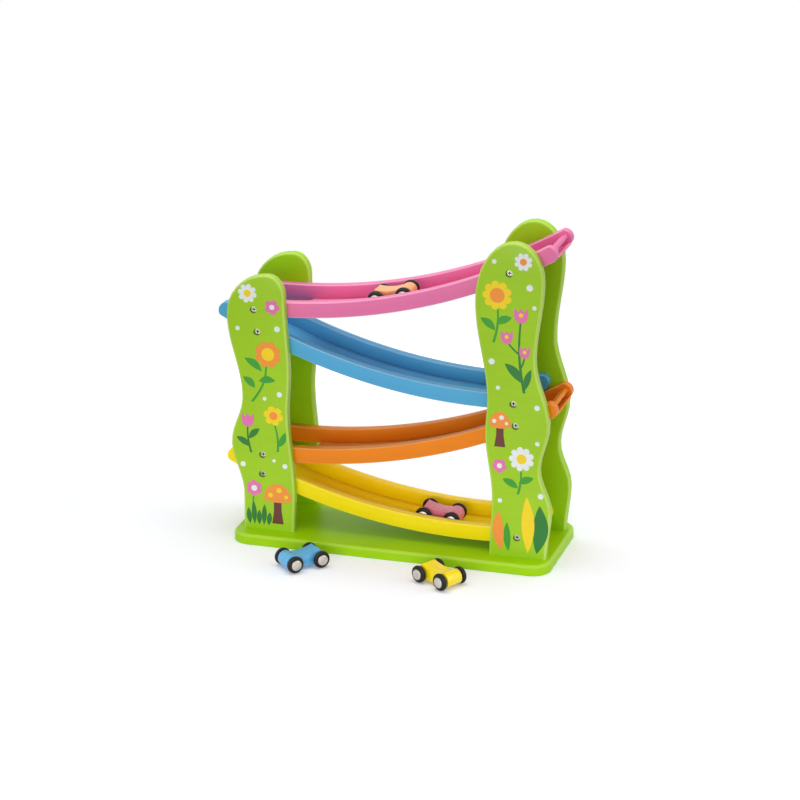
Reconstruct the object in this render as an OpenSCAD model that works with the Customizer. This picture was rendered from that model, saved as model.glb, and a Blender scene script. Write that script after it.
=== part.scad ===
/* [Base plate] */
// Length of the base plate, along the ramps
base_length = 400; // [370:1:460]
// Depth of the base plate, front to back
base_depth = 158; // [145:1:190]
// Thickness of the base plate
base_thickness = 13; // [10:0.5:16]
// Radius of the base plate's corners, seen from above
base_corner_r = 23; // [12:1:40]
// Radius of the rounded top edge of the base plate
base_edge_r = 4; // [1:0.5:6]

/* [Side panels] */
// Thickness of each wavy panel
panel_thickness = 13; // [11:0.5:16]
// Radius of the rounded edges of the panels
panel_edge_r = 3; // [1:0.25:4.5]
// Middle of the left pair of panels, from the middle of the base
left_panel_x = -165; // [-172:1:-158]
// Nominal width of the left pair
left_panel_width = 80; // [72:1:90]
// Height of the left pair above the base plate
left_panel_height = 326; // [318:1:350]
// Middle of the right pair of panels, from the middle of the base
right_panel_x = 150; // [144:1:156]
// Nominal width of the right pair
right_panel_width = 88; // [78:1:96]
// Height of the right pair above the base plate
right_panel_height = 392; // [386:1:420]

/* [Ramps] */
// Width over the two rails, which sets the space between the panels
ramp_width = 87; // [76:1:96]
// Radius of the curved running surface
ramp_radius = 700; // [640:5:800]
// Straight distance between the low and the high screws of a ramp
screw_span = 325; // [310:1:335]
// Length of rail past the low screws
low_overhang = 21; // [14:1:24]
// Distance from the low screws to the end of the floor, where a car drops through
floor_setback = 47.5; // [40:0.5:56]
// Thickness of the floor board
floor_thickness = 2.5; // [2:0.25:3.5]
// Thickness of a rail
rail_thickness = 12; // [9:0.5:14]
// Height of a rail above the floor board
rail_height = 17; // [14:0.5:19]
// Radius of the rounded long edges of a rail
rail_edge_r = 1.6; // [0.5:0.1:3]
// Length of an end stop along the ramp
end_stop_length = 9; // [6:0.5:12]
// Height of an end stop above the floor
end_stop_height = 11; // [6:0.5:14]
// Distance from the rails' tips back to the end of the floor and its stop
end_stop_inset = 4; // [1:0.5:6]

/* [Places of the ramps] */
// Low screw of the pink ramp, along the base
pink_low_x = -173; // [-176:0.5:-168]
// Low screw of the pink ramp, above the table
pink_low_z = 294.5; // [293:0.5:298]
// Tilt of the pink ramp
pink_tilt = 12.9; // [12.5:0.1:13.4]
// Length of the pink rails past their high screws
pink_high_overhang = 58.5; // [46:0.5:60]
// Low screw of the blue ramp, along the base
blue_low_x = 150.5; // [146:0.5:153]
// Low screw of the blue ramp, above the table
blue_low_z = 206.5; // [205:0.5:208]
// Tilt of the blue ramp
blue_tilt = 10.7; // [10.2:0.1:10.9]
// Length of the blue rails past their high screws
blue_high_overhang = 57; // [46:0.5:60]
// Low screw of the orange ramp, along the base
orange_low_x = -164; // [-167:0.5:-160]
// Low screw of the orange ramp, above the table
orange_low_z = 110; // [109:0.5:112]
// Tilt of the orange ramp
orange_tilt = 12.3; // [11.8:0.1:12.6]
// Length of the orange rails past their high screws
orange_high_overhang = 51; // [46:0.5:60]
// Low screw of the yellow ramp, along the base
yellow_low_x = 157; // [153:0.5:160]
// Low screw of the yellow ramp, above the table
yellow_low_z = 37.5; // [35:0.5:39]
// Tilt of the yellow ramp
yellow_tilt = 8.4; // [8:0.1:8.6]
// Length of the yellow rails past their high screws
yellow_high_overhang = 52; // [46:0.5:60]

/* [Screws] */
// Radius of a screw head
screw_head_r = 3.7; // [3:0.1:4]
// Thickness of a screw head
screw_head_h = 2.6; // [2:0.1:3.5]
// Radius of a screw shank
screw_shank_r = 1.9; // [1.4:0.1:2.2]
// Depth of a ramp screw's head below the panel
screw_recess = 3.2; // [1:0.2:4]
// Length of a ramp screw inside the rail
screw_grip = 9; // [5:0.5:10]
// Depth of a base screw's head below the base plate's underside
base_screw_recess = 1.2; // [0.5:0.1:3]
// Length of a base screw inside the panel
base_screw_grip = 22; // [14:1:30]
// Distance between the two base screws of a panel
base_screw_spread = 36; // [24:1:42]

/* [Cars] */
// Radius of a car wheel
wheel_r = 10.5; // [9.8:0.1:11]
// Width of a car wheel
wheel_width = 5.2; // [5:0.1:6.5]
// Radius of the rounded edges of a wheel
wheel_edge_r = 2.2; // [1:0.1:2.4]
// Distance between the axles
wheelbase = 35.5; // [33:0.5:40]
// Distance between the middles of the left and right wheels
car_track = 33; // [32:0.2:36]
// Width of the wooden body
car_body_width = 23.2; // [18:0.2:24]
// Radius of an axle
axle_r = 1.5; // [1:0.1:2]
// Radius of a domed axle cap
hubcap_r = 6.4; // [5:0.1:6.8]
// Height of a domed axle cap
hubcap_height = 2.8; // [2:0.1:3.4]
// Height of the underside of the body above the ground
body_clearance = 3.6; // [2.5:0.1:5]
// Radius of the body's round nose, about the front axle
nose_r = 9.3; // [7.5:0.1:9.4]
// Height of the ridge above the rear axle
ridge_height = 10.8; // [9.4:0.1:11]
// Depth of the hollow in the top of the body, below the top of the nose
saddle_depth = 2.6; // [1.5:0.1:4]
// Low point of the hollow, ahead of the middle of the body
saddle_x = 3; // [2:0.1:5]

/* [Places of the cars] */
// Orange car on the pink ramp, up from the low screws
orange_car_run = 165; // [100:1:300]
// Orange car on the pink ramp, off the middle of its track
orange_car_offset = -6; // [-9:0.5:9]
// Pink car on the yellow ramp, up from the low screws
pink_car_run = 110; // [40:1:300]
// Pink car on the yellow ramp, off the middle of its track
pink_car_offset = -6; // [-9:0.5:9]
// Blue car on the table, along the base
blue_car_x = -91; // [-130:1:-60]
// Blue car on the table, in front of the middle of the base
blue_car_y = -125.5; // [-160:0.5:-123]
// Heading of the blue car
blue_car_heading = 226; // [200:0.5:260]
// Yellow car on the table, along the base
yellow_car_x = 81.5; // [50:0.5:120]
// Yellow car on the table, in front of the middle of the base
yellow_car_y = -129; // [-160:0.5:-125]
// Heading of the yellow car
yellow_car_heading = -29; // [-60:0.5:0]

/* [Hidden] */

// Paint colours
leaf_green = "#9bc33c";
pink_paint = "#e67daa";
blue_paint = "#69afd7";
orange_paint = "#eb8c2d";
yellow_paint = "#ebd70a";
steel_grey = "#b4b4b4";
tyre_black = "#1e1e1e";

// Smoothness
$fn = 64;
arc_fn = 360;
wave_steps = 28;
crown_steps = 9;
round_steps = 3;

// Clearances and the overrun of every cut
screw_gap = 0.1;
head_gap = 0.7;
axle_gap = 0.08;
ride_gap = 0.3;
side_gap = 0.4;
overrun = 1;

// Wavy edges of the panels, from the foot up: across the nominal width, up the height
left_panel_left_shares = [[-0.3, 0], [-0.3, 0.14], [-0.485, 0.34], [-0.305, 0.52], [-0.53, 0.84]];
left_panel_right_shares = [[0.5, 0], [0.52, 0.14], [0.42, 0.475], [0.45, 0.62], [0.385, 0.92]];
left_panel_crown_share = 0.12;
right_panel_left_shares = [[-0.31, 0], [-0.28, 0.18], [-0.385, 0.4], [-0.36, 0.49], [-0.54, 0.815]];
right_panel_right_shares = [
  [0.49, 0], [0.545, 0.15], [0.38, 0.285], [0.505, 0.43], [0.3, 0.635], [0.402, 0.88]
];
right_panel_crown_share = 0;

// Panel planes
panel_inner_y = ramp_width / 2;
panel_outer_y = panel_inner_y + panel_thickness;
panel_middle_y = panel_inner_y + panel_thickness / 2;

// Screw holes
screw_hole_r = screw_shank_r + screw_gap;
head_hole_r = screw_head_r + head_gap;
head_hole_depth = screw_recess + screw_head_h;
screw_length = panel_thickness - head_hole_depth + screw_grip;
base_head_hole_depth = base_screw_recess + screw_head_h;
base_screw_length = base_thickness - base_head_hole_depth + base_screw_grip;
cross_length_share = 0.62;
cross_width_share = 0.17;
cross_depth_share = 0.55;

// The screws lie half-way up the rails
screw_radius = ramp_radius - rail_height / 2;
span_angle = asin(screw_span / 2 / screw_radius);
inner_half_width = ramp_width / 2 - rail_thickness;
rail_depth = rail_height + floor_thickness;
rail_middle_r = ramp_radius + floor_thickness - rail_depth / 2;
rail_end_share = 0.53;
rail_end_r = rail_depth * rail_end_share;

// Each ramp: low screw, tilt, which way it climbs, and the length past its high screws
pink_ramp = [pink_low_x, pink_low_z, pink_tilt, 1, pink_high_overhang];
blue_ramp = [blue_low_x, blue_low_z, blue_tilt, -1, blue_high_overhang];
orange_ramp = [orange_low_x, orange_low_z, orange_tilt, 1, orange_high_overhang];
yellow_ramp = [yellow_low_x, yellow_low_z, yellow_tilt, -1, yellow_high_overhang];
ramps = [pink_ramp, blue_ramp, orange_ramp, yellow_ramp];

// Angles along a ramp, from the middle of its screw span
low_tip = -span_angle - arc_angle(low_overhang, screw_radius);
floor_low_tip = low_tip + arc_angle(end_stop_inset, ramp_radius);
floor_drop_end = arc_angle(floor_setback, ramp_radius) - span_angle;
stop_angle = arc_angle(end_stop_length, ramp_radius);

// Car sizes that follow from the others
cap_seat_share = 0.08;
cap_seat_depth = wheel_width * cap_seat_share;
cap_rim_share = 0.55;
cap_dome_h = hubcap_height * (1 - cap_rim_share);
cap_dome_r = (hubcap_r * hubcap_r + cap_dome_h * cap_dome_h) / (2 * cap_dome_h);
axle_length = car_track + wheel_width - 2 * cap_seat_depth;
wheel_boss_r_share = 0.42;
wheel_boss_r = wheel_r * wheel_boss_r_share;
wheel_boss_h = car_track / 2 - wheel_width / 2 - car_body_width / 2 - side_gap;
ridge_z = wheel_r + ridge_height;
tail_shares = [[-0.67, 0], [-0.735, 0.35], [-0.535, 1]];
block_front_share = 0.44;
ridge_front_share = -0.52;
saddle_low_z = wheel_r + nose_r - saddle_depth;
saddle_half = saddle_x - wheelbase * ridge_front_share;
saddle_drop = ridge_z - saddle_low_z;
saddle_r = (saddle_half * saddle_half + saddle_drop * saddle_drop) / (2 * saddle_drop);
axle_circle_r = ramp_radius - ride_gap - wheel_r;
ride_radius = sqrt(axle_circle_r * axle_circle_r - wheelbase * wheelbase / 4) + wheel_r;

// Angle of an arc of the given length and radius
function arc_angle(length, r) = length / r * 180 / PI;

// High ends of a ramp's rails and of its floor, from the middle of its screw span
function high_tip(ramp) = span_angle + arc_angle(ramp[4], screw_radius);
function floor_high_end(ramp) = high_tip(ramp) - arc_angle(end_stop_inset, ramp_radius);

// Middle of a ramp's arc, from its low screw and its tilt
function arc_rise() = screw_radius * cos(span_angle);
function arc_x(ramp) = ramp[0] + ramp[3] * (screw_span / 2 * cos(ramp[2]) - arc_rise() * sin(ramp[2]));
function arc_z(ramp) = ramp[1] + screw_span / 2 * sin(ramp[2]) + arc_rise() * cos(ramp[2]);

// Screws of a ramp, and those of all ramps on one side of the toy
function low_screw(ramp) = [ramp[0], ramp[1]];
function high_screw(ramp) = [
  ramp[0] + ramp[3] * screw_span * cos(ramp[2]),
  ramp[1] + screw_span * sin(ramp[2])
];
function screws_on(side) = [
  for (ramp = ramps) for (p = [low_screw(ramp), high_screw(ramp)]) if (sign(p.x) == side) p
];
function base_screws_of(middle) = [middle - base_screw_spread / 2, middle + base_screw_spread / 2];

// Points of a rectangle with rounded corners, from the origin
function rounded_box(w, h, r) = [
  for (corner = [[w - r, h - r, 0], [r, h - r, 90], [r, r, 180], [w - r, r, 270]])
    for (i = [0:round_steps])
      let (a = corner[2] + 90 * i / round_steps) [corner[0] + r * cos(a), corner[1] + r * sin(a)]
];

// Place of a wavy edge at a height: half waves between its turning points, then the crown
function half_wave(a, b, z) = a.x + (b.x - a.x) * (1 - cos(180 * (z - a.y) / (b.y - a.y))) / 2;
function crown_curve(a, crown, z) =
  crown.x + (a.x - crown.x) * sqrt(max(0, 1 - pow((z - a.y) / (crown.y - a.y), 2)));
function edge_x(points, crown, z, i = 0) =
  i == len(points) - 1 ? crown_curve(points[i], crown, z) :
  z <= points[i + 1].y ? half_wave(points[i], points[i + 1], z) :
  edge_x(points, crown, z, i + 1);
function scaled(shares, width, height) = [for (s = shares) [s.x * width, s.y * height]];

// Heights at which a panel's two edges are drawn, closer together towards its top
function edge_levels(shoulder, top) = concat(
  [for (k = [0:wave_steps - 1]) shoulder * k / wave_steps],
  [for (k = [0:crown_steps - 1]) shoulder + (top - shoulder) * sin(90 * k / crown_steps)]
);

// Outline of a panel: up the left edge, over the crown and down the right edge
function panel_outline(left, right, crown) =
  let (levels = edge_levels(left[len(left) - 1].y, crown.y), last = len(levels) - 1)
  concat(
    [for (z = levels) [edge_x(left, crown, z), z]],
    [crown],
    [for (k = [last:-1:0]) [edge_x(right, crown, levels[k]), levels[k]]]
  );

// The outline moved inwards; its two feet stay on the base plate
function inward(points, i) =
  let (last = len(points) - 1)
  i == 0 ? [1, 0] :
  i == last ? [-1, 0] :
  let (t = points[i + 1] - points[i - 1]) [t.y, -t.x] / norm(t);
function inset(points, d) = [for (i = [0:len(points) - 1]) points[i] + d * inward(points, i)];

// Insets and depths of the rings that round over both edges of a panel
function edge_rings() = concat(
  [for (k = [0:round_steps]) let (a = 90 * k / round_steps)
    panel_edge_r * [1 - sin(a), 1 - cos(a)]],
  [for (k = [round_steps:-1:0]) let (a = 90 * k / round_steps)
    [panel_edge_r * (1 - sin(a)), panel_thickness - panel_edge_r * (1 - cos(a))]]
);

module rounded_panel(outline) {
  rings = edge_rings();
  n = len(outline);
  points = [for (ring = rings) each [for (p = inset(outline, ring[0])) [p.x, ring[1], p.y]]];
  sides = [
    for (k = [0:len(rings) - 2]) for (i = [0:n - 1])
      let (a = k * n + i, b = k * n + (i + 1) % n)
      each [[a, a + n, b + n], [a, b + n, b]]
  ];
  rungs = [
    for (i = [0:(n - 3) / 2])
      let (j = n - 1 - i)
      each (i + 2 == j ? [[i, i + 1, j]] : [[i, i + 1, j - 1], [i, j - 1, j]])
  ];
  far = (len(rings) - 1) * n;
  front = rungs;
  back = [for (f = rungs) [f[2] + far, f[1] + far, f[0] + far]];
  polyhedron(points, concat(front, back, sides));
}

// A panel at the front, drilled for the ramp screws and the base screws
module drilled_panel(outline, middle, side) {
  difference() {
    translate([middle, -panel_outer_y, base_thickness]) rounded_panel(outline);
    for (p = screws_on(side)) translate([p.x, -panel_outer_y, p.y]) rotate([-90, 0, 0]) {
      translate([0, 0, -overrun]) cylinder(r = head_hole_r, h = head_hole_depth + overrun);
      cylinder(r = screw_hole_r, h = panel_thickness + overrun);
    }
    for (x = base_screws_of(middle)) translate([x, -panel_middle_y, base_thickness - overrun])
      cylinder(r = screw_hole_r, h = base_screw_grip + overrun);
  }
}

module left_panel() {
  drilled_panel(
    panel_outline(
      scaled(left_panel_left_shares, left_panel_width, left_panel_height),
      scaled(left_panel_right_shares, left_panel_width, left_panel_height),
      [left_panel_crown_share * left_panel_width, left_panel_height]
    ),
    left_panel_x, -1
  );
}

module right_panel() {
  drilled_panel(
    panel_outline(
      scaled(right_panel_left_shares, right_panel_width, right_panel_height),
      scaled(right_panel_right_shares, right_panel_width, right_panel_height),
      [right_panel_crown_share * right_panel_width, right_panel_height]
    ),
    right_panel_x, 1
  );
}

module left_front_panel() { color(leaf_green) left_panel(); }
module left_back_panel() { color(leaf_green) mirror([0, 1, 0]) left_panel(); }
module right_front_panel() { color(leaf_green) right_panel(); }
module right_back_panel() { color(leaf_green) mirror([0, 1, 0]) right_panel(); }

// Base plate with round corners, a rounded top edge and screw holes from below
module base_outline() {
  square([base_length - 2 * base_corner_r, base_depth], center = true);
  square([base_length, base_depth - 2 * base_corner_r], center = true);
  for (x = [-1, 1]) for (y = [-1, 1])
    translate([x * (base_length / 2 - base_corner_r), y * (base_depth / 2 - base_corner_r)])
      circle(base_corner_r);
}

// What is cut away above a rounded edge whose outer corner is at the origin
module edge_cut_profile() {
  difference() {
    translate([-base_edge_r, -base_edge_r]) square(base_edge_r + overrun);
    translate([-base_edge_r, -base_edge_r]) circle(base_edge_r);
  }
}

module base_edge_cuts() {
  long = base_length - 2 * base_corner_r;
  short = base_depth - 2 * base_corner_r;
  for (turn = [0, 180]) rotate([0, 0, turn]) {
    translate([base_length / 2, short / 2, base_thickness]) rotate([90, 0, 0])
      linear_extrude(short) edge_cut_profile();
    translate([-long / 2, base_depth / 2, base_thickness]) rotate([90, 0, 90])
      linear_extrude(long) edge_cut_profile();
    translate([long / 2, short / 2, base_thickness])
      rotate_extrude(angle = 90) translate([base_corner_r, 0]) edge_cut_profile();
    translate([-long / 2, short / 2, base_thickness]) rotate([0, 0, 90])
      rotate_extrude(angle = 90) translate([base_corner_r, 0]) edge_cut_profile();
  }
}

module base_plate() {
  color(leaf_green) difference() {
    linear_extrude(base_thickness) base_outline();
    base_edge_cuts();
    for (middle = [left_panel_x, right_panel_x]) for (x = base_screws_of(middle)) for (y = [-1, 1])
      translate([x, y * panel_middle_y, -overrun]) {
        cylinder(r = head_hole_r, h = base_head_hole_depth + overrun);
        cylinder(r = screw_hole_r, h = base_thickness + 2 * overrun);
      }
  }
}

// Cross-head screw along Z: its head's underside at the origin, its shank downwards
module screw(length) {
  cross = 2 * screw_head_r * cross_length_share;
  slot = 2 * screw_head_r * cross_width_share;
  depth = screw_head_h * cross_depth_share;
  difference() {
    union() {
      cylinder(r = screw_head_r, h = screw_head_h);
      translate([0, 0, -length]) cylinder(r = screw_shank_r, h = length);
    }
    for (turn = [0, 90]) rotate([0, 0, turn])
      translate([-cross / 2, -slot / 2, screw_head_h - depth]) cube([cross, slot, depth + overrun]);
  }
}

module panel_screws() {
  color(steel_grey) for (face = [0, 1]) mirror([0, face, 0]) for (side = [-1, 1]) for (p = screws_on(side))
    translate([p.x, head_hole_depth - panel_outer_y, p.y]) rotate([90, 0, 0]) screw(screw_length);
}

module base_screws() {
  color(steel_grey)
    for (middle = [left_panel_x, right_panel_x]) for (x = base_screws_of(middle)) for (y = [-1, 1])
      translate([x, y * panel_middle_y, base_head_hole_depth]) rotate([180, 0, 0]) screw(base_screw_length);
}

// Frame of a ramp: the middle of its arc, climbing towards +X before it is turned
module place_ramp(ramp) {
  translate([arc_x(ramp), 0, arc_z(ramp)])
    mirror([ramp[3] < 0 ? 1 : 0, 0, 0])
    rotate([0, -ramp[2], 0])
    children();
}

// A length of arc below that middle, swept from a profile of radius and depth
module ramp_sweep(from, to) {
  rotate([90, 0, 0]) rotate_extrude(angle = to - from, start = 270 + from, $fn = arc_fn) children();
}

// What is cut away to round a rail's tip, which is at the origin and points to +X
module tip_cut() {
  translate([-rail_end_r, 0, 0]) rotate([90, 0, 0]) difference() {
    translate([0, -rail_depth, -ramp_width]) cube([rail_end_r + overrun, 2 * rail_depth, 2 * ramp_width]);
    translate([0, 0, -ramp_width]) cylinder(r = rail_end_r, h = 2 * ramp_width);
  }
}

// A rail of the front side, in the frame of its ramp
module front_rail(ramp) {
  difference() {
    ramp_sweep(low_tip, high_tip(ramp))
      translate([ramp_radius - rail_height, inner_half_width])
      polygon(rounded_box(rail_depth, rail_thickness, rail_edge_r));
    rotate([0, -high_tip(ramp), 0]) translate([0, 0, -rail_middle_r]) tip_cut();
    rotate([0, -low_tip, 0]) translate([0, 0, -rail_middle_r]) mirror([1, 0, 0]) tip_cut();
    for (end = [-1, 1]) rotate([0, -end * span_angle, 0])
      translate([0, -panel_inner_y - overrun, -screw_radius]) rotate([-90, 0, 0])
        cylinder(r = screw_hole_r, h = screw_grip + 2 * overrun);
  }
}

module rail(ramp, paint, face) {
  color(paint) place_ramp(ramp) mirror([0, face == "front" ? 0 : 1, 0]) front_rail(ramp);
}

// Thin floor board between the rails, level with their undersides
module ramp_floor(ramp, paint, low_end) {
  color(paint) place_ramp(ramp) ramp_sweep(low_end, floor_high_end(ramp))
    translate([ramp_radius, -inner_half_width]) square([floor_thickness, 2 * inner_half_width]);
}

// Bar across the ramp, on the floor and between the rails
module end_stop(ramp, paint, from) {
  color(paint) place_ramp(ramp) ramp_sweep(from, from + stop_angle)
    translate([ramp_radius - end_stop_height, -inner_half_width])
    square([end_stop_height, 2 * inner_half_width]);
}

module pink_front_rail() { rail(pink_ramp, pink_paint, "front"); }
module pink_back_rail() { rail(pink_ramp, pink_paint, "back"); }
module pink_floor() { ramp_floor(pink_ramp, pink_paint, floor_drop_end); }
module pink_end_stop() { end_stop(pink_ramp, pink_paint, floor_high_end(pink_ramp) - stop_angle); }
module blue_front_rail() { rail(blue_ramp, blue_paint, "front"); }
module blue_back_rail() { rail(blue_ramp, blue_paint, "back"); }
module blue_floor() { ramp_floor(blue_ramp, blue_paint, floor_drop_end); }
module blue_end_stop() { end_stop(blue_ramp, blue_paint, floor_high_end(blue_ramp) - stop_angle); }
module orange_front_rail() { rail(orange_ramp, orange_paint, "front"); }
module orange_back_rail() { rail(orange_ramp, orange_paint, "back"); }
module orange_floor() { ramp_floor(orange_ramp, orange_paint, floor_drop_end); }
module orange_end_stop() { end_stop(orange_ramp, orange_paint, floor_high_end(orange_ramp) - stop_angle); }
module yellow_front_rail() { rail(yellow_ramp, yellow_paint, "front"); }
module yellow_back_rail() { rail(yellow_ramp, yellow_paint, "back"); }
module yellow_floor() { ramp_floor(yellow_ramp, yellow_paint, floor_low_tip); }
module yellow_end_stops() {
  end_stop(yellow_ramp, yellow_paint, floor_high_end(yellow_ramp) - stop_angle);
  end_stop(yellow_ramp, yellow_paint, floor_low_tip);
}

// Frame of a car: under its middle on the ground, nose towards +X
module place_on_ramp(ramp, run, off, nose) {
  place_ramp(ramp)
    rotate([0, span_angle - arc_angle(run, ramp_radius), 0])
    translate([0, off, -ride_radius])
    rotate([0, 0, nose == "up" ? 0 : 180])
    children();
}
module place_on_table(x, y, heading) {
  translate([x, y, 0]) rotate([0, 0, heading]) children();
}
module place_car(car) {
  if (car == "orange") place_on_ramp(pink_ramp, orange_car_run, orange_car_offset, "up") children();
  if (car == "pink") place_on_ramp(yellow_ramp, pink_car_run, pink_car_offset, "down") children();
  if (car == "blue") place_on_table(blue_car_x, blue_car_y, blue_car_heading) children();
  if (car == "yellow") place_on_table(yellow_car_x, yellow_car_y, yellow_car_heading) children();
}

// Frame of an axle, along Y through the wheels
module place_axle(car, end) {
  x = (end == "front" ? 1 : -1) * wheelbase / 2;
  place_car(car) translate([x, 0, wheel_r]) rotate([90, 0, 0]) children();
}

// A round bar across the car, longer than the body is wide
module cross_bar(x, z, r) {
  translate([x, car_body_width, z]) rotate([90, 0, 0]) cylinder(r = r, h = 2 * car_body_width);
}

// Body of a car: a block with a ridge at the tail, hollowed on top, and a round nose
module body_block() {
  difference() {
    translate([0, car_body_width / 2, 0]) rotate([90, 0, 0]) linear_extrude(car_body_width) polygon(concat(
      [for (t = tail_shares) [t.x * wheelbase, body_clearance + t.y * (ridge_z - body_clearance)]],
      [for (z = [ridge_z, body_clearance]) [block_front_share * wheelbase, z]]
    ));
    cross_bar(saddle_x, saddle_low_z + saddle_r, saddle_r, $fn = arc_fn);
  }
}
module body_nose() {
  difference() {
    translate([wheelbase / 2, car_body_width / 2, wheel_r]) rotate([90, 0, 0])
      cylinder(r = nose_r, h = car_body_width);
    translate([0, -car_body_width, body_clearance - wheel_r]) cube([wheelbase, 2 * car_body_width, wheel_r]);
  }
}
module car_body(car, paint) {
  color(paint) place_car(car) difference() {
    union() {
      body_block();
      body_nose();
    }
    for (x = [-1, 1]) cross_bar(x * wheelbase / 2, wheel_r, axle_r + axle_gap);
  }
}

module car_axle(car, end) {
  color(steel_grey) place_axle(car, end) cylinder(r = axle_r, h = axle_length, center = true);
}

// A wheel with its outer side upwards: rounded tread edges, a seat for the cap, a boss below
module wheel() {
  difference() {
    union() {
      rotate_extrude() intersection() {
        translate([-wheel_r, -wheel_width / 2]) polygon(rounded_box(2 * wheel_r, wheel_width, wheel_edge_r));
        translate([0, -wheel_width / 2]) square([wheel_r, wheel_width]);
      }
      translate([0, 0, -wheel_width / 2 - wheel_boss_h])
        cylinder(r = wheel_boss_r, h = wheel_boss_h + overrun);
    }
    cylinder(r = axle_r, h = 2 * wheel_width, center = true);
    translate([0, 0, wheel_width / 2 - cap_seat_depth]) cylinder(r = hubcap_r, h = wheel_width);
  }
}

module car_wheel(car, end, side) {
  color(tyre_black) place_axle(car, end) mirror([0, 0, side == "left" ? 1 : 0])
    translate([0, 0, car_track / 2]) wheel();
}

// A domed cap on each end of an axle
module hubcap() {
  intersection() {
    cylinder(r = hubcap_r, h = hubcap_height);
    translate([0, 0, hubcap_height - cap_dome_r]) sphere(cap_dome_r);
  }
}

module car_caps(car, end) {
  color(steel_grey) place_axle(car, end) for (side = [0, 1]) mirror([0, 0, side])
    translate([0, 0, axle_length / 2]) hubcap();
}

module orange_car_body() { car_body("orange", "#fab478"); }
module orange_car_front_axle() { car_axle("orange", "front"); }
module orange_car_rear_axle() { car_axle("orange", "rear"); }
module orange_car_front_left_wheel() { car_wheel("orange", "front", "left"); }
module orange_car_front_right_wheel() { car_wheel("orange", "front", "right"); }
module orange_car_front_caps() { car_caps("orange", "front"); }
module orange_car_rear_left_wheel() { car_wheel("orange", "rear", "left"); }
module orange_car_rear_right_wheel() { car_wheel("orange", "rear", "right"); }
module orange_car_rear_caps() { car_caps("orange", "rear"); }
module pink_car_body() { car_body("pink", "#e16e8c"); }
module pink_car_front_axle() { car_axle("pink", "front"); }
module pink_car_rear_axle() { car_axle("pink", "rear"); }
module pink_car_front_left_wheel() { car_wheel("pink", "front", "left"); }
module pink_car_front_right_wheel() { car_wheel("pink", "front", "right"); }
module pink_car_front_caps() { car_caps("pink", "front"); }
module pink_car_rear_left_wheel() { car_wheel("pink", "rear", "left"); }
module pink_car_rear_right_wheel() { car_wheel("pink", "rear", "right"); }
module pink_car_rear_caps() { car_caps("pink", "rear"); }
module blue_car_body() { car_body("blue", "#50a5dc"); }
module blue_car_front_axle() { car_axle("blue", "front"); }
module blue_car_rear_axle() { car_axle("blue", "rear"); }
module blue_car_front_left_wheel() { car_wheel("blue", "front", "left"); }
module blue_car_front_right_wheel() { car_wheel("blue", "front", "right"); }
module blue_car_front_caps() { car_caps("blue", "front"); }
module blue_car_rear_left_wheel() { car_wheel("blue", "rear", "left"); }
module blue_car_rear_right_wheel() { car_wheel("blue", "rear", "right"); }
module blue_car_rear_caps() { car_caps("blue", "rear"); }
module yellow_car_body() { car_body("yellow", "#fadc0a"); }
module yellow_car_front_axle() { car_axle("yellow", "front"); }
module yellow_car_rear_axle() { car_axle("yellow", "rear"); }
module yellow_car_front_left_wheel() { car_wheel("yellow", "front", "left"); }
module yellow_car_front_right_wheel() { car_wheel("yellow", "front", "right"); }
module yellow_car_front_caps() { car_caps("yellow", "front"); }
module yellow_car_rear_left_wheel() { car_wheel("yellow", "rear", "left"); }
module yellow_car_rear_right_wheel() { car_wheel("yellow", "rear", "right"); }
module yellow_car_rear_caps() { car_caps("yellow", "rear"); }

base_plate();
left_front_panel();
left_back_panel();
right_front_panel();
right_back_panel();
pink_front_rail();
pink_back_rail();
pink_floor();
pink_end_stop();
blue_front_rail();
blue_back_rail();
blue_floor();
blue_end_stop();
orange_front_rail();
orange_back_rail();
orange_floor();
orange_end_stop();
yellow_front_rail();
yellow_back_rail();
yellow_floor();
yellow_end_stops();
panel_screws();
base_screws();
orange_car_body();
orange_car_front_axle();
orange_car_rear_axle();
orange_car_front_left_wheel();
orange_car_front_right_wheel();
orange_car_front_caps();
orange_car_rear_left_wheel();
orange_car_rear_right_wheel();
orange_car_rear_caps();
pink_car_body();
pink_car_front_axle();
pink_car_rear_axle();
pink_car_front_left_wheel();
pink_car_front_right_wheel();
pink_car_front_caps();
pink_car_rear_left_wheel();
pink_car_rear_right_wheel();
pink_car_rear_caps();
blue_car_body();
blue_car_front_axle();
blue_car_rear_axle();
blue_car_front_left_wheel();
blue_car_front_right_wheel();
blue_car_front_caps();
blue_car_rear_left_wheel();
blue_car_rear_right_wheel();
blue_car_rear_caps();
yellow_car_body();
yellow_car_front_axle();
yellow_car_rear_axle();
yellow_car_front_left_wheel();
yellow_car_front_right_wheel();
yellow_car_front_caps();
yellow_car_rear_left_wheel();
yellow_car_rear_right_wheel();
yellow_car_rear_caps();
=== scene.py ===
import math

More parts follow.
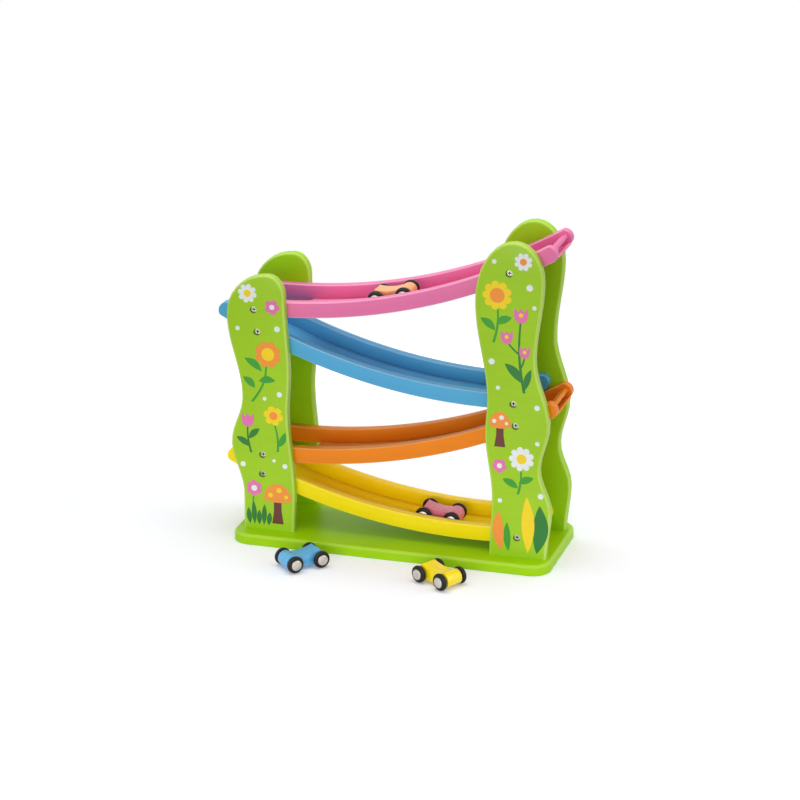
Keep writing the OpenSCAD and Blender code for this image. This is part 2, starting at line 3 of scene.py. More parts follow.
import bmesh
import bpy
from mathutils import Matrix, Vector


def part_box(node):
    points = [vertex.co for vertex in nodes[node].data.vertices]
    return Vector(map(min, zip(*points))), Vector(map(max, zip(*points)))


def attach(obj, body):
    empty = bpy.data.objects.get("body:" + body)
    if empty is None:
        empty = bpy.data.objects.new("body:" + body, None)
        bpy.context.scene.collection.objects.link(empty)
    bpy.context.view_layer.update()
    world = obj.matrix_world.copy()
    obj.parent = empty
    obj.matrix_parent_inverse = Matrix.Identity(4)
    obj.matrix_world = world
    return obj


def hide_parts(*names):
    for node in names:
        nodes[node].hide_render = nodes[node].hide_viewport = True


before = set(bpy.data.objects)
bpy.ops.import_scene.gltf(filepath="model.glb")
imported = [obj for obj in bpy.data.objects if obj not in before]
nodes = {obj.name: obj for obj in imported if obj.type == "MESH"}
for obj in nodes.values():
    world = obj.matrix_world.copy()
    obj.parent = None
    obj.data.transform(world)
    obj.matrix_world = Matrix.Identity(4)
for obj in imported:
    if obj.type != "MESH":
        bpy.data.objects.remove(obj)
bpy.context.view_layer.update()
scene = bpy.context.scene
millimetre = 0.001
print("frame loaded:", len(nodes), "nodes")


# small helpers for node trees
def place(tree, kind, **settings):
    made = tree.nodes.new(kind)
    for name, value in settings.items():
        setattr(made, name, value)
    return made


def feed(tree, source, target):
    if hasattr(source, "node"):
        tree.links.new(source, target)
    else:
        target.default_value = source


def maths(tree, operation, first, second=0.0, clamp=False):
    made = place(tree, "ShaderNodeMath", operation=operation, use_clamp=clamp)
    feed(tree, first, made.inputs[0])
    feed(tree, second, made.inputs[1])
    return made.outputs[0]


def blendColours(tree, share, first, second):
    made = place(tree, "ShaderNodeMix", data_type="RGBA")
    feed(tree, share, made.inputs["Factor"])
    feed(tree, first, made.inputs["A"])
    feed(tree, second, made.inputs["B"])
    return made.outputs["Result"]


def ramp(tree, value, low, high, toLow=0.0, toHigh=1.0):
    made = place(tree, "ShaderNodeMapRange", interpolation_type="SMOOTHSTEP")
    feed(tree, value, made.inputs["Value"])
    made.inputs["From Min"].default_value = low
    made.inputs["From Max"].default_value = high
    made.inputs["To Min"].default_value = toLow
    made.inputs["To Max"].default_value = toHigh
    return made.outputs["Result"]


def cloud(tree, where, scale, detail=2.0, stretch=None):
    if stretch:
        mapping = place(tree, "ShaderNodeMapping")
        tree.links.new(where, mapping.inputs["Vector"])
        mapping.inputs["Scale"].default_value = stretch
        where = mapping.outputs["Vector"]
    made = place(tree, "ShaderNodeTexNoise")
    tree.links.new(where, made.inputs["Vector"])
    made.inputs["Scale"].default_value = scale
    made.inputs["Detail"].default_value = detail
    return made.outputs["Fac"]


def newGroup(name, inputs, outputs):
    group = bpy.data.node_groups.new(name, "ShaderNodeTree")
    for label, kind in inputs:
        group.interface.new_socket(label, in_out="INPUT", socket_type="NodeSocket" + kind)
    for label, kind in outputs:
        group.interface.new_socket(label, in_out="OUTPUT", socket_type="NodeSocket" + kind)
    return group, group.nodes.new("NodeGroupInput").outputs, group.nodes.new("NodeGroupOutput").inputs


def srgb(red, green, blue):
    def straight(c):
        c = c / 255
        return c / 12.92 if c <= 0.04045 else ((c + 0.055) / 1.055) ** 2.4
    return (straight(red), straight(green), straight(blue), 1.0)


# sprayed paint over sanded board: soft mottle, faint grain, and a painted highlight that makes rounded edges
# paler
def paintSkinGroup():
    group, given, result = newGroup(
        "paintSkin",
        [("Paint", "Color"), ("Edge Highlight", "Color"), ("Edge Share", "Float"), ("Face Axis", "Vector")],
        [("Color", "Color"), ("Roughness", "Float"), ("Height", "Float")])
    where = place(group, "ShaderNodeTexCoord").outputs["Object"]
    mottle = cloud(group, where, 14.0, 3.0)
    grain = cloud(group, where, 1.0, 4.0, (24.0, 260.0, 260.0))
    peel = cloud(group, where, 900.0, 2.0)
    normal = place(group, "ShaderNodeNewGeometry").outputs["Normal"]
    dot = place(group, "ShaderNodeVectorMath", operation="DOT_PRODUCT")
    group.links.new(normal, dot.inputs[0])
    group.links.new(given["Face Axis"], dot.inputs[1])
    facing = maths(group, "ABSOLUTE", dot.outputs["Value"])
    pastSide = ramp(group, facing, 0.05, 0.35)
    shortOfFace = ramp(group, facing, 0.90, 0.995, 1.0, 0.0)
    # painted highlight: where a face rounds over into a side, the colour turns towards the pale edge colour
    edge = maths(group, "MULTIPLY", pastSide, shortOfFace)
    paintedHighlight = maths(group, "MULTIPLY", edge, ramp(group, mottle, 0.2, 0.7, 0.55, 1.0))
    paintedHighlight = maths(group, "MULTIPLY", paintedHighlight, given["Edge Share"])
    shade = ramp(group, mottle, 0.25, 0.75, 0.965, 1.02)
    lines = ramp(group, grain, 0.3, 0.7, 0.985, 1.01)
    toned = place(group, "ShaderNodeVectorMath", operation="SCALE")
    group.links.new(given["Paint"], toned.inputs[0])
    group.links.new(maths(group, "MULTIPLY", shade, lines), toned.inputs["Scale"])
    colour = blendColours(group, paintedHighlight, toned.outputs["Vector"], given["Edge Highlight"])
    group.links.new(colour, result["Color"])
    fineRough = ramp(group, peel, 0.3, 0.7, 0.34, 0.44)
    broadRough = ramp(group, mottle, 0.3, 0.7, 0.0, 0.06)
    group.links.new(maths(group, "ADD", fineRough, broadRough), result["Roughness"])
    height = maths(group, "ADD", maths(group, "MULTIPLY", peel, 0.5), maths(group, "MULTIPLY", grain, 0.5))
    group.links.new(height, result["Height"])
    return group


# stained wood: long streaks and pores along X, paler early wood between them
def woodGrainGroup():
    group, given, result = newGroup(
        "woodGrain",
        [("Vector", "Vector"), ("Stain", "Color"), ("Streak", "Color")],
        [("Color", "Color"), ("Roughness", "Float"), ("Height", "Float")])
    where = given["Vector"]
    broad = cloud(group, where, 1.0, 3.0, (14.0, 170.0, 170.0))
    fine = cloud(group, where, 1.0, 4.0, (45.0, 1100.0, 1100.0))
    pores = cloud(group, where, 1.0, 2.0, (160.0, 2600.0, 2600.0))
    broadStreaks = maths(group, "MULTIPLY", ramp(group, broad, 0.35, 0.68), 0.5)
    fineStreaks = maths(group, "MULTIPLY", ramp(group, fine, 0.42, 0.68), 0.5)
    streaks = maths(group, "ADD", broadStreaks, fineStreaks)
    pits = ramp(group, pores, 0.58, 0.7)
    pitShare = maths(group, "MULTIPLY", pits, 0.3)
    share = maths(group, "ADD", maths(group, "MULTIPLY", streaks, 0.6), pitShare, True)
    group.links.new(blendColours(group, share, given["Stain"], given["Streak"]), result["Color"])
    group.links.new(ramp(group, fine, 0.3, 0.7, 0.3, 0.46), result["Roughness"])
    ridges = maths(group, "MULTIPLY", fine, 0.4)
    holes = maths(group, "MULTIPLY", pits, 0.6)
    group.links.new(maths(group, "SUBTRACT", ridges, holes), result["Height"])
    return group


# rolled steel: fine brushing and a few rubbed spots
def steelBrushGroup():
    group, given, result = newGroup(
        "steelBrush",
        [("Steel", "Color"), ("Tarnish", "Color"), ("Fineness", "Float")],
        [("Color", "Color"), ("Roughness", "Float"), ("Height", "Float")])
    where = place(group, "ShaderNodeTexCoord").outputs["Object"]
    scaled = place(group, "ShaderNodeVectorMath", operation="SCALE")
    group.links.new(where, scaled.inputs[0])
    group.links.new(given["Fineness"], scaled.inputs["Scale"])
    spots = cloud(group, scaled.outputs["Vector"], 0.12, 3.0)
    brushing = cloud(group, scaled.outputs["Vector"], 1.0, 3.0, (1.0, 1.0, 6.0))
    dull = maths(group, "MULTIPLY", ramp(group, spots, 0.45, 0.75), 0.7)
    group.links.new(blendColours(group, dull, given["Steel"], given["Tarnish"]), result["Color"])
    brushRough = ramp(group, brushing, 0.3, 0.7, 0.24, 0.36)
    dullRough = maths(group, "MULTIPLY", dull, 0.15)
    group.links.new(maths(group, "ADD", brushRough, dullRough), result["Roughness"])
    group.links.new(brushing, result["Height"])
    return group


paintSkin = paintSkinGroup()
woodGrain = woodGrainGroup()
steelBrush = steelBrushGroup()


def startMaterial(name, group):
    made = bpy.data.materials.new(name)
    made.use_nodes = True
    tree = made.node_tree
    shader = tree.nodes["Principled BSDF"]
    skin = place(tree, "ShaderNodeGroup", node_tree=group)
    return made, tree, shader, skin


def finishMaterial(tree, shader, skin, depth):
    tree.links.new(skin.outputs["Color"], shader.inputs["Base Color"])
    tree.links.new(skin.outputs["Roughness"], shader.inputs["Roughness"])
    bump = place(tree, "ShaderNodeBump")
    bump.inputs["Strength"].default_value = 1.0
    bump.inputs["Distance"].default_value = depth
    tree.links.new(skin.outputs["Height"], bump.inputs["Height"])
    tree.links.new(bump.outputs["Normal"], shader.inputs["Normal"])


def painted(name, look):
    made, tree, shader, skin = startMaterial(name, paintSkin)
    skin.inputs["Paint"].default_value = srgb(*look["paint"])
    # the edge colour is a painted highlight, laid on the rounded edges
    skin.inputs["Edge Highlight"].default_value = srgb(*look["edge"])
    skin.inputs["Edge Share"].default_value = look["edgeShare"]
    skin.inputs["Face Axis"].default_value = look["faceAxis"]
    finishMaterial(tree, shader, skin, look["bump"])
    shader.inputs["Coat Weight"].default_value = look["coat"]
    shader.inputs["Coat Roughness"].default_value = look["coatRough"]
    shader.inputs["Specular IOR Level"].default_value = look["shine"]
    return made


def stained(name, look):
    made, tree, shader, skin = startMaterial(name, woodGrain)
    where = place(tree, "ShaderNodeTexCoord").outputs["Object"]
    mapping = place(tree, "ShaderNodeMapping", vector_type="TEXTURE")
    mapping.inputs["Rotation"].default_value = look["turn"]
    tree.links.new(where, mapping.inputs["Vector"])
    tree.links.new(mapping.outputs["Vector"], skin.inputs["Vector"])
    skin.inputs["Stain"].default_value = srgb(*look["stain"])
    skin.inputs["Streak"].default_value = srgb(*look["streak"])
    finishMaterial(tree, shader, skin, carFinish["bump"])
    shader.inputs["Coat Weight"].default_value = carFinish["coat"]
    shader.inputs["Coat Roughness"].default_value = carFinish["coatRough"]
    return made


def steel(name, look):
    made, tree, shader, skin = startMaterial(name, steelBrush)
    skin.inputs["Steel"].default_value = srgb(*look["steel"])
    skin.inputs["Tarnish"].default_value = srgb(*look["tarnish"])
    skin.inputs["Fineness"].default_value = look["fineness"]
    finishMaterial(tree, shader, skin, look["bump"])
    shader.inputs["Metallic"].default_value = 1.0
    return made, tree, shader, skin


# screws: painted shade, dark in the cross and round the shank, below the face of the head
def screwHeads(name, look):
    made, tree, shader, skin = steel(name, look)
    apart = place(tree, "ShaderNodeSeparateXYZ")
    tree.links.new(place(tree, "ShaderNodeTexCoord").outputs["Object"], apart.inputs[0])
    out = maths(tree, "ABSOLUTE", apart.outputs["Y"])
    # painted shade: steel deeper than the head's face turns to the dark shade colour
    sunk = ramp(tree, out, look["shadeBy"], look["shadeFrom"], 1.0, 0.0)
    colour = blendColours(tree, sunk, skin.outputs["Color"], srgb(*look["recessShade"]))
    tree.links.new(colour, shader.inputs["Base Color"])
    return made


# boards and ramps; each edge colour is the painted highlight on their rounded edges
boards = {"paint": (161, 207, 22), "edge": (204, 230, 116), "edgeShare": 0.75, "faceAxis": (0, 1, 0),
          "bump": 0.06 * millimetre, "coat": 0.06, "coatRough": 0.25, "shine": 0.35}
backBoards = dict(boards, paint=(158, 214, 6), shine=0.2, coat=0.0)
baseBoard = dict(backBoards, paint=(160, 211, 0), faceAxis=(0, 0, 1), edgeShare=0.3)
rampPaints = {
    "pink": {"paint": (240, 124, 175), "edge": (250, 196, 220)},
    "blue": {"paint": (88, 174, 220), "edge": (164, 214, 240)},
    "orange": {"paint": (244, 136, 22), "edge": (254, 184, 112)},
    "yellow": {"paint": (255, 228, 0), "edge": (252, 236, 110)},
}
greenPaint = painted("greenPaint", boards)
greenBack = painted("greenBack", backBoards)
greenBase = painted("greenBase", baseBoard)
rampSkins = {
    colour: painted(colour + "Paint", dict(boards, edgeShare=0.6, shine=0.2, coat=0.03, **look))
    for colour, look in rampPaints.items()
}
print("paints mixed")

# cars: one finish, and the stain, streaks and way each one points
carFinish = {"bump": 0.12 * millimetre, "coat": 0.35, "coatRough": 0.2}
carLooks = {
    "orange": {"stain": (252, 178, 110), "streak": (232, 134, 62), "turn": (0, math.radians(-12.8), 0)},
    "pink": {"stain": (242, 126, 154), "streak": (218, 92, 126), "turn": (0, math.radians(3.8), 0)},
    "blue": {"stain": (96, 184, 234), "streak": (56, 146, 206), "turn": (0, 0, math.radians(226))},
    "yellow": {"stain": (255, 232, 0), "streak": (240, 204, 0), "turn": (0, 0, math.radians(-29))},
}
carSkins = {colour: stained(colour + "Stain", look) for colour, look in carLooks.items()}

# caps and screws
capLook = {"steel": (206, 200, 192), "tarnish": (176, 168, 158), "fineness": 900.0, "bump": 0.04 * millimetre}
capSteel = steel("capSteel", capLook)[0]
headFace = -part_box("panel_screws")[0].y
# screw heads: the dark colour below the head's face is painted shade
screwLook = {"steel": (206, 204, 196), "tarnish": (150, 148, 140), "fineness": 700.0, "bump": 0.04 * millimetre,
             "recessShade": (34, 34, 30), "shadeFrom": headFace - 0.2 * millimetre,
             "shadeBy": headFace - 0.9 * millimetre}
screwSteel = screwHeads("screwSteel", screwLook)
baseScrewSteel = steel("baseScrewSteel", screwLook)[0]


# black rubber with a dusty bloom
def rubber(name, look):
    made = bpy.data.materials.new(name)
    made.use_nodes = True
    tree = made.node_tree
    shader = tree.nodes["Principled BSDF"]
    where = place(tree, "ShaderNodeTexCoord").outputs["Object"]
    bloom = cloud(tree, where, 160.0, 4.0)
    grit = cloud(tree, where, 2400.0, 2.0)
    dusty = ramp(tree, bloom, 0.45, 0.75, 0.0, 0.6)
    colour = blendColours(tree, dusty, srgb(*look["black"]), srgb(*look["bloom"]))
    tree.links.new(colour, shader.inputs["Base Color"])
    tree.links.new(ramp(tree, grit, 0.3, 0.7, 0.42, 0.6), shader.inputs["Roughness"])
    shader.inputs["Specular IOR Level"].default_value = look["shine"]
    bump = place(tree, "ShaderNodeBump")
    bump.inputs["Distance"].default_value = look["bump"]
    tree.links.new(grit, bump.inputs["Height"])
    tree.links.new(bump.outputs["Normal"], shader.inputs["Normal"])
    return made


tyreLook = {"black": (9, 9, 10), "bloom": (22, 22, 21), "shine": 0.35, "bump": 0.05 * millimetre}
tyreRubber = rubber("tyreRubber", tyreLook)


# soft shading: smooth faces, crisp only at real corners
def softShadingGroup(limit):
    group = bpy.data.node_groups.new("softShading", "GeometryNodeTree")
    group.interface.new_socket("Geometry", in_out="INPUT", socket_type="NodeSocketGeometry")
    group.interface.new_socket("Geometry", in_out="OUTPUT", socket_type="NodeSocketGeometry")
    given = group.nodes.new("NodeGroupInput")
    result = group.nodes.new("NodeGroupOutput")
    faces = place(group, "GeometryNodeSetShadeSmooth", domain="FACE")
    edges = place(group, "GeometryNodeSetShadeSmooth", domain="EDGE")
    angle = place(group, "GeometryNodeInputMeshEdgeAngle")
    sharp = place(group, "FunctionNodeCompare", data_type="FLOAT", operation="GREATER_THAN")
    group.links.new(angle.outputs["Unsigned Angle"], sharp.inputs[0])
    sharp.inputs[1].default_value = math.radians(limit)
    edges.inputs["Shade Smooth"].default_value = False
    group.links.new(given.outputs[0], faces.inputs["Geometry"])
    group.links.new(faces.outputs[0], edges.inputs["Geometry"])
    group.links.new(sharp.outputs[0], edges.inputs["Selection"])
    group.links.new(edges.outputs[0], result.inputs[0])
    return group


sharpFrom = 38  # degrees between faces
bevelFrom = 40
weldReach = 0.01 * millimetre
softShading = softShadingGroup(sharpFrom)


def soften(piece, bevel, segments):
    if bevel:
        rounding = piece.modifiers.new("rounding", "BEVEL")
        rounding.width = bevel * millimetre
        rounding.segments = segments
        rounding.limit_method = "ANGLE"
        rounding.angle_limit = math.radians(bevelFrom)
    piece.modifiers.new("shading", "NODES").node_group = softShading


def dress(name, skin, bevel=0.0, segments=2):
    node = nodes[name]
    node.data.materials.clear()
    node.data.materials.append(skin)
    node.modifiers.new("weld", "WELD").merge_threshold = weldReach
    soften(node, bevel, segments)


for name in nodes:
    colour = name.split("_")[0]
    if name == "base_plate":
        dress(name, greenBase)
    elif name.endswith("_back_panel"):
        dress(name, greenBack)
    elif name.endswith("_front_panel"):
        dress(name, greenPaint)
    elif name.endswith("_rail"):
        dress(name, rampSkins[colour])
    elif name.endswith("_floor") or "_end_stop" in name:
        dress(name, rampSkins[colour], 0.5)
    elif name == "panel_screws":
        dress(name, screwSteel, 0.15)
    elif name == "base_screws":
        dress(name, baseScrewSteel, 0.15)
    elif name.endswith("_car_body"):
        dress(name, carSkins[colour], 0.8, 3)
    elif name.endswith("_wheel"):
        dress(name, tyreRubber)
    else:
        dress(name, capSteel, 0.2)
print("frame dressed")


# pieces made here: a flat outline drawn out along Y, and a mesh of such solids that rides on the track
def drawOut(work, points, farY):
    foot = [work.verts.new(point) for point in points]
    raised = bmesh.ops.extrude_face_region(work, geom=[work.faces.new(foot)])
    for vert in (made for made in raised["geom"] if isinstance(made, bmesh.types.BMVert)):
        vert.co.y = farY


def trackPiece(work, name, skin):
    bmesh.ops.recalc_face_normals(work, faces=work.faces)
    mesh = bpy.data.meshes.new(name)
    work.to_mesh(mesh)
    work.free()
    mesh.materials.append(skin)
    made = bpy.data.objects.new(name, mesh)
    scene.collection.objects.link(made)
    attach(made, "track")
    return made


# end stops: a slat between the rails, with an open slot below it
slats = {"thick": 5.0, "rounding": 0.8, "segments": 3, "apart": 50.0, "flatness": 0.001}


def slatStop(name, look):
    colour = name.split("_")[0]
    low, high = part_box(name)
    near = [nodes[name].matrix_world @ vertex.co for vertex in nodes[name].data.vertices]
    near = [spot for spot in near if spot.y < low.y + look["flatness"] * millimetre]
    middle = (low.x + high.x) / 2
    halves = [near]
    if high.x - low.x > look["apart"] * millimetre:  # two stops in one node
        halves = [[spot for spot in near if spot.x < middle], [spot for spot in near if spot.x > middle]]
    work = bmesh.new()
    for half in halves:
        corners = {(round(spot.x, 6), round(spot.z, 6)) for spot in half}
        corners = sorted(corners, key=lambda corner: corner[1])
        count = len(corners) // 2
        feet, crown = sorted(corners[:count]), sorted(corners[count:])
        share = look["thick"] * millimetre / math.dist(crown[0], feet[0])
        under = [(top[0] + share * (foot[0] - top[0]), top[1] + share * (foot[1] - top[1]))
                 for top, foot in zip(crown, feet)]
        drawOut(work, [(x, low.y, z) for x, z in crown + under[::-1]], high.y)
    made = trackPiece(work, colour + "_slat", rampSkins[colour])
    soften(made, look["rounding"], look["segments"])
    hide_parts(name)


for name in [name for name in nodes if "_end_stop" in name]:
    slatStop(name, slats)
print("slats set")


# printed marks: outlines across and up a panel face, in millimetres
def disc(x, z, r, count=36):
    return [(x + r * math.cos(2 * math.pi * i / count), z + r * math.sin(2 * math.pi * i / count))
            for i in range(count)]


def blossom(x, z, r, petals, depth, turn=0.0, count=14):
    points = []
    for i in range(petals * count):
        a = 2 * math.pi * i / (petals * count)
        reach = r * (1 - depth + depth * abs(math.sin(petals * a / 2)) ** 0.55)
        points.append((x + reach * math.cos(a + turn), z + reach * math.sin(a + turn)))
    return points


def stripEdges(x0, z0, x1, z1, bend, count, halfWidth):
    along, up = x1 - x0, z1 - z0
    length = math.hypot(along, up)
    across = (-up / length, along / length)
    left, right = [], []
    for i in range(count + 1):
        t = i / count
        half = halfWidth(t)
        sway = bend * math.sin(math.pi * t)
        x, z = x0 + along * t, z0 + up * t
        left.append((x + across[0] * (sway + half), z + across[1] * (sway + half)))
        right.append((x + across[0] * (sway - half), z + across[1] * (sway - half)))
    return left, right


def leaf(x0, z0, x1, z1, width, bend=0.0, count=14):
    left, right = stripEdges(
        x0, z0, x1, z1, bend, count, lambda t: width / 2 * math.sin(math.pi * t) ** 0.85)
    return right + left[-2:0:-1]


def stalk(x0, z0, x1, z1, width, bend=0.0, count=12):
    left, right = stripEdges(x0, z0, x1, z1, bend, count, lambda t: width / 2 * (1 - 0.35 * t))
    return right + left[::-1]


def toadstoolCap(x, z, width, tall, count=20, underCount=8):
    top = [(x + width / 2 * math.cos(math.pi * i / count), z + tall * math.sin(math.pi * i / count))
           for i in range(count + 1)]
    under = [(x - width / 2 + width * i / underCount, z - tall * 0.16 * math.sin(math.pi * i / underCount))
             for i in range(1, underCount)]
    return top + under


def toadstoolFoot(x, z, width, tall):
    return [(x - width * 0.62, z), (x + width * 0.62, z), (x + width * 0.42, z + tall * 0.5),
            (x + width * 0.4, z + tall), (x - width * 0.4, z + tall), (x - width * 0.42, z + tall * 0.5)]


def tulip(x, z, width, tall):
    half = width / 2
    side = [(0.0, 0.0), (0.5, 0.05), (0.88, 0.24), (1.0, 0.5), (0.98, 0.78), (0.9, 1.0)]
    right = [(x + half * a, z + tall * b) for a, b in side]
    notch = [(x + half * 0.42, z + tall * 0.7), (x, z + tall * 0.98), (x - half * 0.42, z + tall * 0.7)]
    left = [(x - half * a, z + tall * b) for a, b in side[:0:-1]]
    return right + notch + left


inks = {
    "white": (236, 242, 240),
    "yellow": (248, 216, 24),
    "orange": (248, 150, 58),
    "pink": (232, 118, 176),
    "leaf": (58, 156, 44),
    "deepLeaf": (40, 122, 44),
    "brown": (104, 52, 40),
}
inkSkins = {
    ink: painted(ink + "Ink", dict(boards, paint=colour, edge=colour, edgeShare=0.0, coat=0.15))
    for ink, colour in inks.items()
}

# blades of grass: foot, height and lean
grassBlades = [(-16, 21, -2), (-10, 30, -1), (-4, 19, 0), (2, 27, 1), (8, 17, 2)]
grassFoot = 19
bladeWidth = 6.5

# each mark: ink, layer, outline about the panel's middle
leftMarks = [
    ("white", 3, blossom(-15, 315, 12, 8, 0.34, 0.2)),
    ("yellow", 4, disc(-15, 315, 4.6)),
    ("pink", 3, blossom(16, 300, 9.5, 5, 0.32, 0.5)),
    ("white", 4, disc(16, 300, 3.2)),
    ("leaf", 1, stalk(-11, 178, 8, 234, 3.2, -6)),
    ("leaf", 2, leaf(-7, 196, -22, 209, 9, -1.5)),
    ("leaf", 2, leaf(-2, 205, 19, 207, 9, 2)),
    ("leaf", 2, leaf(2, 218, -20, 233, 9.5, -2)),
    ("orange", 3, blossom(10, 240, 17, 8, 0.28)),
    ("yellow", 4, disc(10, 240, 8.2)),
    ("white", 1, disc(22, 273, 3.6)),
    ("white", 1, disc(-28, 270, 2.8)),
    ("white", 1, disc(24, 190, 3.4)),
    ("white", 1, disc(5, 183, 2.4)),
    ("leaf", 1, stalk(21, 116, 17, 152, 3, -2)),
    ("leaf", 2, leaf(21, 122, 31, 142, 8, -1.5)),
    ("yellow", 3, blossom(16, 162, 12.5, 6, 0.32, 0.3)),
    ("orange", 4, disc(16, 162, 5.2)),
    ("deepLeaf", 1, stalk(-13, 112, -17, 150, 2.8, 2)),
    ("deepLeaf", 2, leaf(-14, 120, -32, 131, 8, -1)),
    ("deepLeaf", 2, leaf(-16, 130, -2, 144, 8, 1)),
    ("pink", 3, tulip(-17, 145, 16, 18)),
    ("white", 1, disc(-24, 96, 3.4)),
    ("white", 1, disc(30, 98, 3.2)),
    ("white", 1, disc(16, 104, 2.2)),
    ("brown", 1, toadstoolFoot(20, 22, 12, 32)),
    ("orange", 3, toadstoolCap(20, 53, 36, 21)),
    ("yellow", 4, disc(11, 59, 3)),
    ("yellow", 4, disc(22, 66, 3.4)),
    ("yellow", 4, disc(31, 58, 2.5)),
    ("leaf", 1, stalk(-12, 26, -10, 62, 2.6, 1)),
    ("pink", 3, blossom(-10, 66, 10.5, 6, 0.34)),
    ("white", 4, disc(-10, 66, 3.8)),
] + [
    ("deepLeaf", 2, leaf(x, grassFoot, x + lean, grassFoot + tall, bladeWidth)) for x, tall, lean in grassBlades
]
rightMarks = [
    ("white", 3, blossom(11, 383, 11, 8, 0.34)),
    ("orange", 4, disc(11, 383, 4.2)),
    ("white", 1, disc(-24, 381, 2.8)),
    ("leaf", 1, stalk(-24, 282, -20, 330, 3.2, -3)),
    ("leaf", 2, leaf(-22, 297, -40, 311, 9.5, -1.5)),
    ("leaf", 2, leaf(-21, 305, -2, 314, 9.5, 1.5)),
    ("yellow", 3, blossom(-20, 340, 18, 9, 0.26)),
    ("orange", 4, disc(-20, 340, 9)),
    ("white", 1, disc(19, 352, 4)),
    ("white", 1, disc(25, 328, 2.6)),
    ("deepLeaf", 1, stalk(14, 222, 9, 314, 3.4, 4)),
    ("deepLeaf", 1, stalk(7, 270, -7, 284, 2.6, 1)),
    ("deepLeaf", 1, stalk(9, 252, 14, 268, 2.6, -1)),
    ("deepLeaf", 2, leaf(12, 234, -10, 257, 11, -2)),
    ("deepLeaf", 2, leaf(15, 226, 22, 252, 8, 1)),
    ("pink", 3, tulip(9, 308, 17, 19)),
    ("pink", 3, tulip(-8, 281, 15, 17)),
    ("pink", 3, tulip(14, 265, 13, 15)),
    ("yellow", 4, disc(9, 318, 2.6)),
    ("yellow", 4, disc(-8, 290, 2.4)),
    ("yellow", 4, disc(14, 273, 2.2)),
    ("white", 1, disc(-26, 258, 3.8)),
    ("white", 1, disc(-18, 226, 2.6)),
    ("white", 1, disc(30, 205, 3.4)),
    ("brown", 1, toadstoolFoot(-15, 152, 11, 28)),
    ("orange", 3, toadstoolCap(-15, 178, 27, 18)),
    ("white", 4, disc(-22, 184, 2.5)),
    ("white", 4, disc(-13, 189, 2.9)),
    ("white", 4, disc(-7, 182, 2)),
    ("leaf", 1, stalk(8, 94, 11, 130, 3, -2)),
    ("leaf", 2, leaf(8, 102, -11, 112, 9, -1)),
    ("leaf", 2, leaf(9, 108, 27, 116, 9, 1)),
    ("white", 3, blossom(12, 139, 15.5, 9, 0.3)),
    ("yellow", 4, disc(12, 139, 6.2)),
    ("pink", 3, blossom(-15, 128, 9, 5, 0.32, 0.3)),
    ("white", 4, disc(-15, 128, 3.2)),
    ("white", 1, disc(31, 160, 2.8)),
    ("white", 1, disc(36, 94, 3.6)),
    ("white", 1, disc(-14, 84, 2.8)),
    ("deepLeaf", 2, leaf(32, 20, 35, 82, 19, -3)),
    ("yellow", 3, leaf(21, 20, 19, 92, 16, -1)),
    ("orange", 3, leaf(-12, 20, -16, 70, 14, 2)),
    ("leaf", 2, leaf(-3, 20, -5, 57, 9, 1)),
]
panelMiddles = {"left": -165.0, "right": 150.0}
inkStep = 0.06  # each layer of ink stands this far out, in millimetres
inkLift = 0.001  # and each later mark a little further
inkSink = 0.02  # with its foot in the board


def printMarks(side, marks):
    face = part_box(side + "_front_panel")[0].y
    for ink in inks:
        work = bmesh.new()
        for order, (which, layer, outline) in enumerate(marks):
            if which != ink:
                continue
            foot = face + inkSink * millimetre
            points = [((panelMiddles[side] + x) * millimetre, foot, z * millimetre) for x, z in outline]
            drawOut(work, points, face - (inkStep * layer + inkLift * order) * millimetre)
        if work.faces:
            trackPiece(work, side + "_print_" + ink, inkSkins[ink])
        else:
            work.free()


printMarks("left", leftMarks)
printMarks("right", rightMarks)
print("prints laid")

# floor and light; away from the toy the floor turns plain white
stageLook = {"size": 30, "drop": 0.3 * millimetre, "floor": (246, 247, 252), "lift": 0.13, "liftBy": 0.6,
             "ambient": 0.47, "whiteFrom": 0.36, "whiteBy": 0.85}


def paleFloor(look):
    bpy.ops.mesh.primitive_plane_add(size=look["size"], location=(0, 0, -look["drop"]))
    floor = bpy.context.object
    floor.name = "floor"
    made = bpy.data.materials.new("paleFloor")
    made.use_nodes = True
    tree = made.node_tree
    tree.nodes.remove(tree.nodes["Principled BSDF"])
    reach = place(tree, "ShaderNodeVectorMath", operation="LENGTH")
    tree.links.new(place(tree, "ShaderNodeNewGeometry").outputs["Position"], reach.inputs[0])
    away = ramp(tree, reach.outputs["Value"], look["whiteFrom"], look["whiteBy"])
    matt = place(tree, "ShaderNodeBsdfDiffuse")
    tree.links.new(blendColours(tree, away, srgb(*look["floor"]), (0, 0, 0, 1)), matt.inputs["Color"])
    glow = place(tree, "ShaderNodeEmission")
    seen = place(tree, "ShaderNodeLightPath")
    either = maths(tree, "MAXIMUM", seen.outputs["Is Camera Ray"], seen.outputs["Is Glossy Ray"])
    lift = ramp(tree, away, 0.0, look["liftBy"], look["lift"], 1.0)
    tree.links.new(maths(tree, "MULTIPLY", either, lift), glow.inputs["Strength"])
    both = place(tree, "ShaderNodeAddShader")
    tree.links.new(matt.outputs[0], both.inputs[0])
    tree.links.new(glow.outputs[0], both.inputs[1])
    tree.links.new(both.outputs[0], tree.nodes["Material Output"].inputs["Surface"])
    floor.data.materials.append(made)


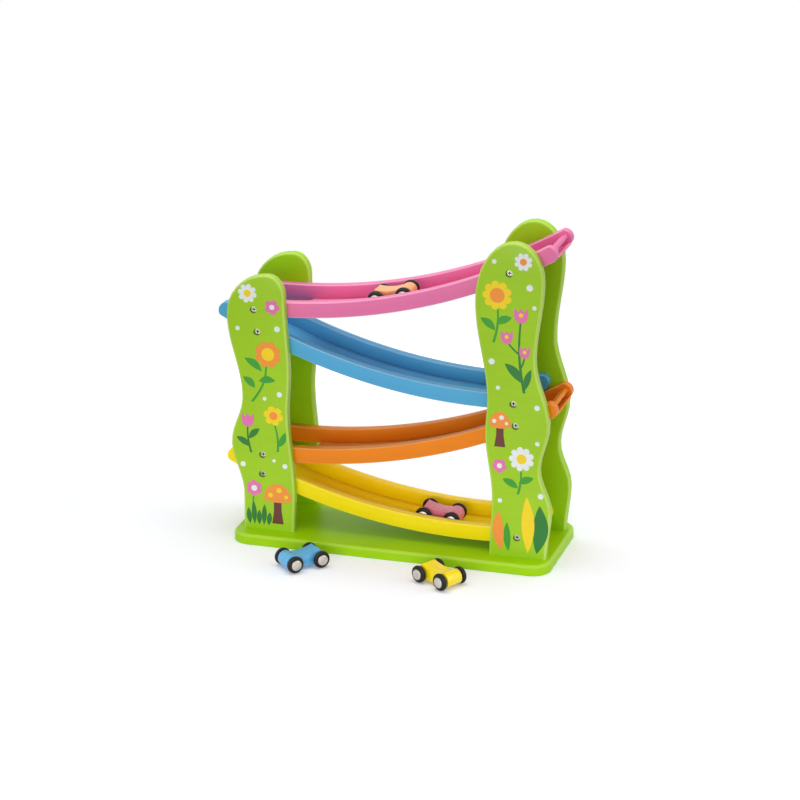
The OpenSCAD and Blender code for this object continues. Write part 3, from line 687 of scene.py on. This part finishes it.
def paleWorld(look):
    world = bpy.data.worlds.new("paleRoom")
    scene.world = world
    world.use_nodes = True
    tree = world.node_tree
    seen = place(tree, "ShaderNodeLightPath")
    direct = maths(tree, "MAXIMUM", seen.outputs["Is Camera Ray"], seen.outputs["Is Transmission Ray"])
    either = maths(tree, "MAXIMUM", direct, seen.outputs["Is Glossy Ray"])
    strength = ramp(tree, either, 0.0, 1.0, look["ambient"], 1.0)
    tree.links.new(strength, tree.nodes["Background"].inputs["Strength"])
    tree.nodes["Background"].inputs["Color"].default_value = (1, 1, 1, 1)


def softbox(name, look):
    data = bpy.data.lights.new(name, "AREA")
    data.shape = "RECTANGLE"
    data.size, data.size_y = look["size"]
    data.energy = look["watts"]
    made = bpy.data.objects.new(name, data)
    scene.collection.objects.link(made)
    made.location = look["place"]
    aim = Vector(look["aim"]) - Vector(look["place"])
    made.rotation_euler = aim.to_track_quat("-Z", "Y").to_euler()


softboxes = {
    "topBox": {"size": (2.0, 1.6), "watts": 21.0, "place": (-0.1, 0.2, 1.9), "aim": (0.0, 0.0, 0.1)},
    "frontBox": {"size": (1.8, 0.8), "watts": 18.5, "place": (0.1, -2.2, 0.55), "aim": (0.0, 0.0, 0.15)},
    "rightBox": {"size": (1.2, 1.6), "watts": 8.0, "place": (1.9, 0.2, 0.9), "aim": (0.0, 0.0, 0.15)},
}
paleFloor(stageLook)
paleWorld(stageLook)
for name, look in softboxes.items():
    softbox(name, look)
print("stage lit")

# the photograph's view
photoView = {"place": (1.0195, -3.4232, 1.4223), "aim": (-0.00566, 0.0, 0.178), "lens": 140.17,
             "sensor": 36.0, "clip": (0.1, 60.0)}
lens = bpy.data.cameras.new("photoCamera")
lens.lens = photoView["lens"]
lens.sensor_width = photoView["sensor"]
lens.clip_start, lens.clip_end = photoView["clip"]
camera = bpy.data.objects.new("photoCamera", lens)
scene.collection.objects.link(camera)
camera.location = photoView["place"]
aim = Vector(photoView["aim"]) - Vector(photoView["place"])
camera.rotation_euler = aim.to_track_quat("-Z", "Y").to_euler()
scene.camera = camera
scene.view_settings.view_transform = "Standard"
print("camera set")
